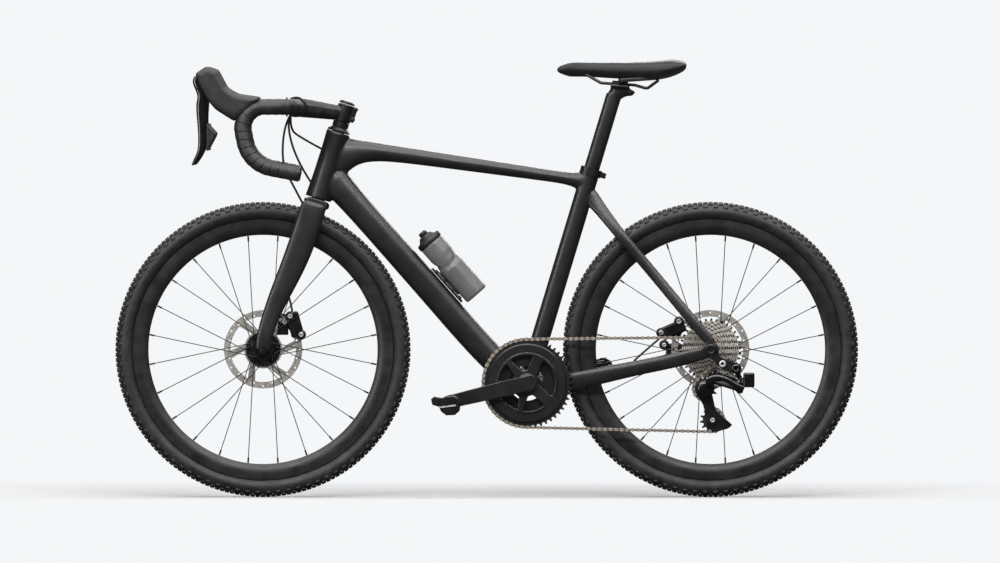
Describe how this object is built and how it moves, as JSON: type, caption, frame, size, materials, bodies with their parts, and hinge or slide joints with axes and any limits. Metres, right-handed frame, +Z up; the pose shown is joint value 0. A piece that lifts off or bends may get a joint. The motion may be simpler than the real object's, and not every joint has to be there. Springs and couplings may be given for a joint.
{
  "type": "gravel bike",
  "caption": "Drop-bar gravel bicycle with disc brakes, knobbly tyres, chain drive with rear derailleur, padded saddle and a small bottle on the down tube.",
  "frame": {"origin": "on the ground, midway between the two axles, in the bike's middle plane", "axes": "+X to the rear, -Y to the drive side, +Z up"},
  "size_m": [1.7054, 0.493, 1.0042],
  "materials": {
    "matt_frame": "matt charcoal",
    "black_alloy": "satin black",
    "dark_rim": "matt dark",
    "tyre_rubber": "matt rubber",
    "grip_rubber": "soft rubber",
    "bar_tape": "wrapped tape",
    "saddle_cover": "synthetic cover",
    "steel": "brushed",
    "bronze_steel": "bronze tint",
    "grey_alloy": "polished grey",
    "black_plastic": "matt",
    "smoke_plastic": "translucent smoke"
  },
  "bodies": {
    "frame": {"head_tube": "matt_frame", "top_tube": "matt_frame", "down_tube": "matt_frame", "seat_tube": "matt_frame", "chainstays": "matt_frame", "seatstays": "matt_frame", "frame_bearings": "steel", "seatpost_collar": "matt_frame", "rear_axle": "black_alloy", "derailleur_hanger": "black_alloy", "derailleur_body": "black_plastic", "rear_caliper": "black_alloy", "bottle_mount": "black_plastic", "frame_hoses": "grip_rubber", "chain": "bronze_steel"},
    "steering": {"fork": "matt_frame", "front_axle": "black_alloy", "headset_spacers_and_cap": "black_alloy", "stem": "black_alloy", "handlebar": "black_alloy", "bar_tape": "bar_tape", "lever_hoods": "grip_rubber", "front_caliper": "black_alloy", "front_brake_hose": "grip_rubber"},
    "front_wheel": {"front_tyre": "tyre_rubber", "front_rim": "dark_rim", "front_spokes": "steel", "front_hub": "black_alloy", "front_rotor": "bronze_steel"},
    "rear_wheel": {"rear_tyre": "tyre_rubber", "rear_rim": "dark_rim", "rear_spokes": "steel", "rear_hub": "black_alloy", "rear_rotor": "bronze_steel"},
    "cassette_block": {"cassette": "bronze_steel"},
    "cranks": {"drive_crank_arm": "black_alloy", "far_crank_arm": "black_alloy", "crank_and_pedal_spindles": "steel", "chainrings": "grey_alloy"},
    "near_pedal_body": {"near_pedal": "black_alloy"},
    "far_pedal_body": {"far_pedal": "black_alloy"},
    "near_lever": {"near_brake_lever": "black_alloy"},
    "far_lever": {"far_brake_lever": "black_alloy"},
    "near_paddle": {"near_shift_paddle": "black_plastic"},
    "far_paddle": {"far_shift_paddle": "black_plastic"},
    "outer_link": {"derailleur_outer_link": "grey_alloy"},
    "inner_link": {"derailleur_inner_link": "grey_alloy"},
    "lower_knuckle": {"derailleur_knuckle": "black_plastic"},
    "cage": {"derailleur_cage": "black_plastic"},
    "guide_wheel": {"guide_pulley": "black_plastic"},
    "tension_wheel": {"tension_pulley": "black_plastic"},
    "front_pad_near": {"front_near_pad": "steel"},
    "front_pad_far": {"front_far_pad": "steel"},
    "rear_pad_near": {"rear_near_pad": "steel"},
    "rear_pad_far": {"rear_far_pad": "steel"},
    "seat": {"seatpost": "black_alloy", "saddle_rails": "steel", "saddle_pad": "saddle_cover"},
    "bottle_body": {"bottle": "smoke_plastic"},
    "spout": {"bottle_spout": "black_plastic"}
  },
  "joints": [
    {"name": "steering", "type": "hinge", "parent": "frame", "child": "steering", "pos_m": [-0.3875, 0, 0.685], "axis": [0.2924, 0, 0.9563], "range_deg": [-60, 60], "deforming": ["frame_hoses"]},
    {"name": "front_wheel_spin", "type": "hinge", "parent": "steering", "child": "front_wheel", "pos_m": [-0.5137, 0, 0.339], "axis": [0, 1, 0], "continuous": true},
    {"name": "rear_wheel_spin", "type": "hinge", "parent": "frame", "child": "rear_wheel", "pos_m": [0.5137, 0, 0.339], "axis": [0, 1, 0], "continuous": true},
    {"name": "crank_spin", "type": "hinge", "parent": "frame", "child": "cranks", "pos_m": [0.0924, 0, 0.262], "axis": [0, 1, 0], "continuous": true, "deforming": ["chain"]},
    {"name": "cassette_spin", "type": "hinge", "parent": "frame", "child": "cassette_block", "pos_m": [0.5137, 0, 0.339], "axis": [0, 1, 0], "continuous": true},
    {"name": "near_pedal_spin", "type": "hinge", "parent": "cranks", "child": "near_pedal_body", "pos_m": [-0.0827, 0, 0.22029], "axis": [0, 1, 0], "continuous": true},
    {"name": "far_pedal_spin", "type": "hinge", "parent": "cranks", "child": "far_pedal_body", "pos_m": [0.2675, 0, 0.30372], "axis": [0, 1, 0], "continuous": true},
    {"name": "near_lever_pull", "type": "hinge", "parent": "steering", "child": "near_lever", "pos_m": [-0.641, -0.213, 0.948], "axis": [0, -1, 0], "range_deg": [0, 18], "stiffness_Nm_per_rad": 0.6, "springref_deg": -14.32},
    {"name": "far_lever_pull", "type": "hinge", "parent": "steering", "child": "far_lever", "pos_m": [-0.641, 0.213, 0.948], "axis": [0, -1, 0], "range_deg": [0, 18], "stiffness_Nm_per_rad": 0.6, "springref_deg": -14.32},
    {"name": "near_paddle_push", "type": "hinge", "parent": "near_lever", "child": "near_paddle", "pos_m": [-0.6387, -0.213, 0.82], "axis": [0, 0, 1], "range_deg": [0, 8], "stiffness_Nm_per_rad": 0.05, "springref_deg": -11.46},
    {"name": "far_paddle_push", "type": "hinge", "parent": "far_lever", "child": "far_paddle", "pos_m": [-0.6387, 0.213, 0.82], "axis": [0, 0, -1], "range_deg": [0, 8], "stiffness_Nm_per_rad": 0.05, "springref_deg": -11.46},
    {"name": "derailleur_outer_link_swing", "type": "hinge", "parent": "frame", "child": "outer_link", "pos_m": [0.586, -0.084, 0.262], "axis": [-0.2053, -0.7497, -0.6291], "range_deg": [-13, 34]},
    {"name": "derailleur_inner_link_swing", "type": "hinge", "parent": "frame", "child": "inner_link", "pos_m": [0.58135, -0.07076, 0.24774], "axis": [-0.2053, -0.7497, -0.6291], "range_deg": [-13, 34]},
    {"name": "derailleur_knuckle_swing", "type": "hinge", "parent": "outer_link", "child": "lower_knuckle", "pos_m": [0.51755, -0.084, 0.28434], "axis": [-0.2053, -0.7497, -0.6291], "range_deg": [-34, 13]},
    {"name": "cage_swing", "type": "hinge", "parent": "lower_knuckle", "child": "cage", "pos_m": [0.5, 0, 0.25], "axis": [0, 1, 0], "range_deg": [-25, 35], "stiffness_Nm_per_rad": 0.8},
    {"name": "guide_pulley_spin", "type": "hinge", "parent": "cage", "child": "guide_wheel", "pos_m": [0.5, 0, 0.25], "axis": [0, 1, 0], "continuous": true},
    {"name": "tension_pulley_spin", "type": "hinge", "parent": "cage", "child": "tension_wheel", "pos_m": [0.51823, 0, 0.17725], "axis": [0, 1, 0], "continuous": true},
    {"name": "front_near_pad_press", "type": "slide", "parent": "steering", "child": "front_pad_near", "axis": [0, 1, 0], "range_m": [0, 0.0004]},
    {"name": "front_far_pad_press", "type": "slide", "parent": "steering", "child": "front_pad_far", "axis": [0, -1, 0], "range_m": [0, 0.0004]},
    {"name": "rear_near_pad_press", "type": "slide", "parent": "frame", "child": "rear_pad_near", "axis": [0, 1, 0], "range_m": [0, 0.0004]},
    {"name": "rear_far_pad_press", "type": "slide", "parent": "frame", "child": "rear_pad_far", "axis": [0, -1, 0], "range_m": [0, 0.0004]},
    {"name": "seatpost_height", "type": "slide", "parent": "frame", "child": "seat", "axis": [0.289, 0, 0.9573], "range_m": [-0.12, 0.08]},
    {"name": "bottle_pull", "type": "slide", "parent": "frame", "child": "bottle_body", "axis": [0.7479, 0, 0.6639], "range_m": [0, 0.06]},
    {"name": "spout_pull", "type": "slide", "parent": "bottle_body", "child": "spout", "axis": [-0.6639, 0, 0.7479], "range_m": [0, 0.006]}
  ],
  "couplings": [
    {"joint": "cassette_spin", "follows": "crank_spin", "ratio": 3.5714},
    {"joint": "guide_pulley_spin", "follows": "crank_spin", "ratio": -3.8462},
    {"joint": "tension_pulley_spin", "follows": "crank_spin", "ratio": 3.8462},
    {"joint": "derailleur_inner_link_swing", "follows": "derailleur_outer_link_swing", "ratio": 1},
    {"joint": "derailleur_knuckle_swing", "follows": "derailleur_outer_link_swing", "ratio": -1},
    {"joint": "front_near_pad_press", "follows": "near_lever_pull", "m_per_rad": 0.001272},
    {"joint": "front_far_pad_press", "follows": "near_lever_pull", "m_per_rad": 0.001272},
    {"joint": "rear_near_pad_press", "follows": "far_lever_pull", "m_per_rad": 0.001272},
    {"joint": "rear_far_pad_press", "follows": "far_lever_pull", "m_per_rad": 0.001272}
  ]
}
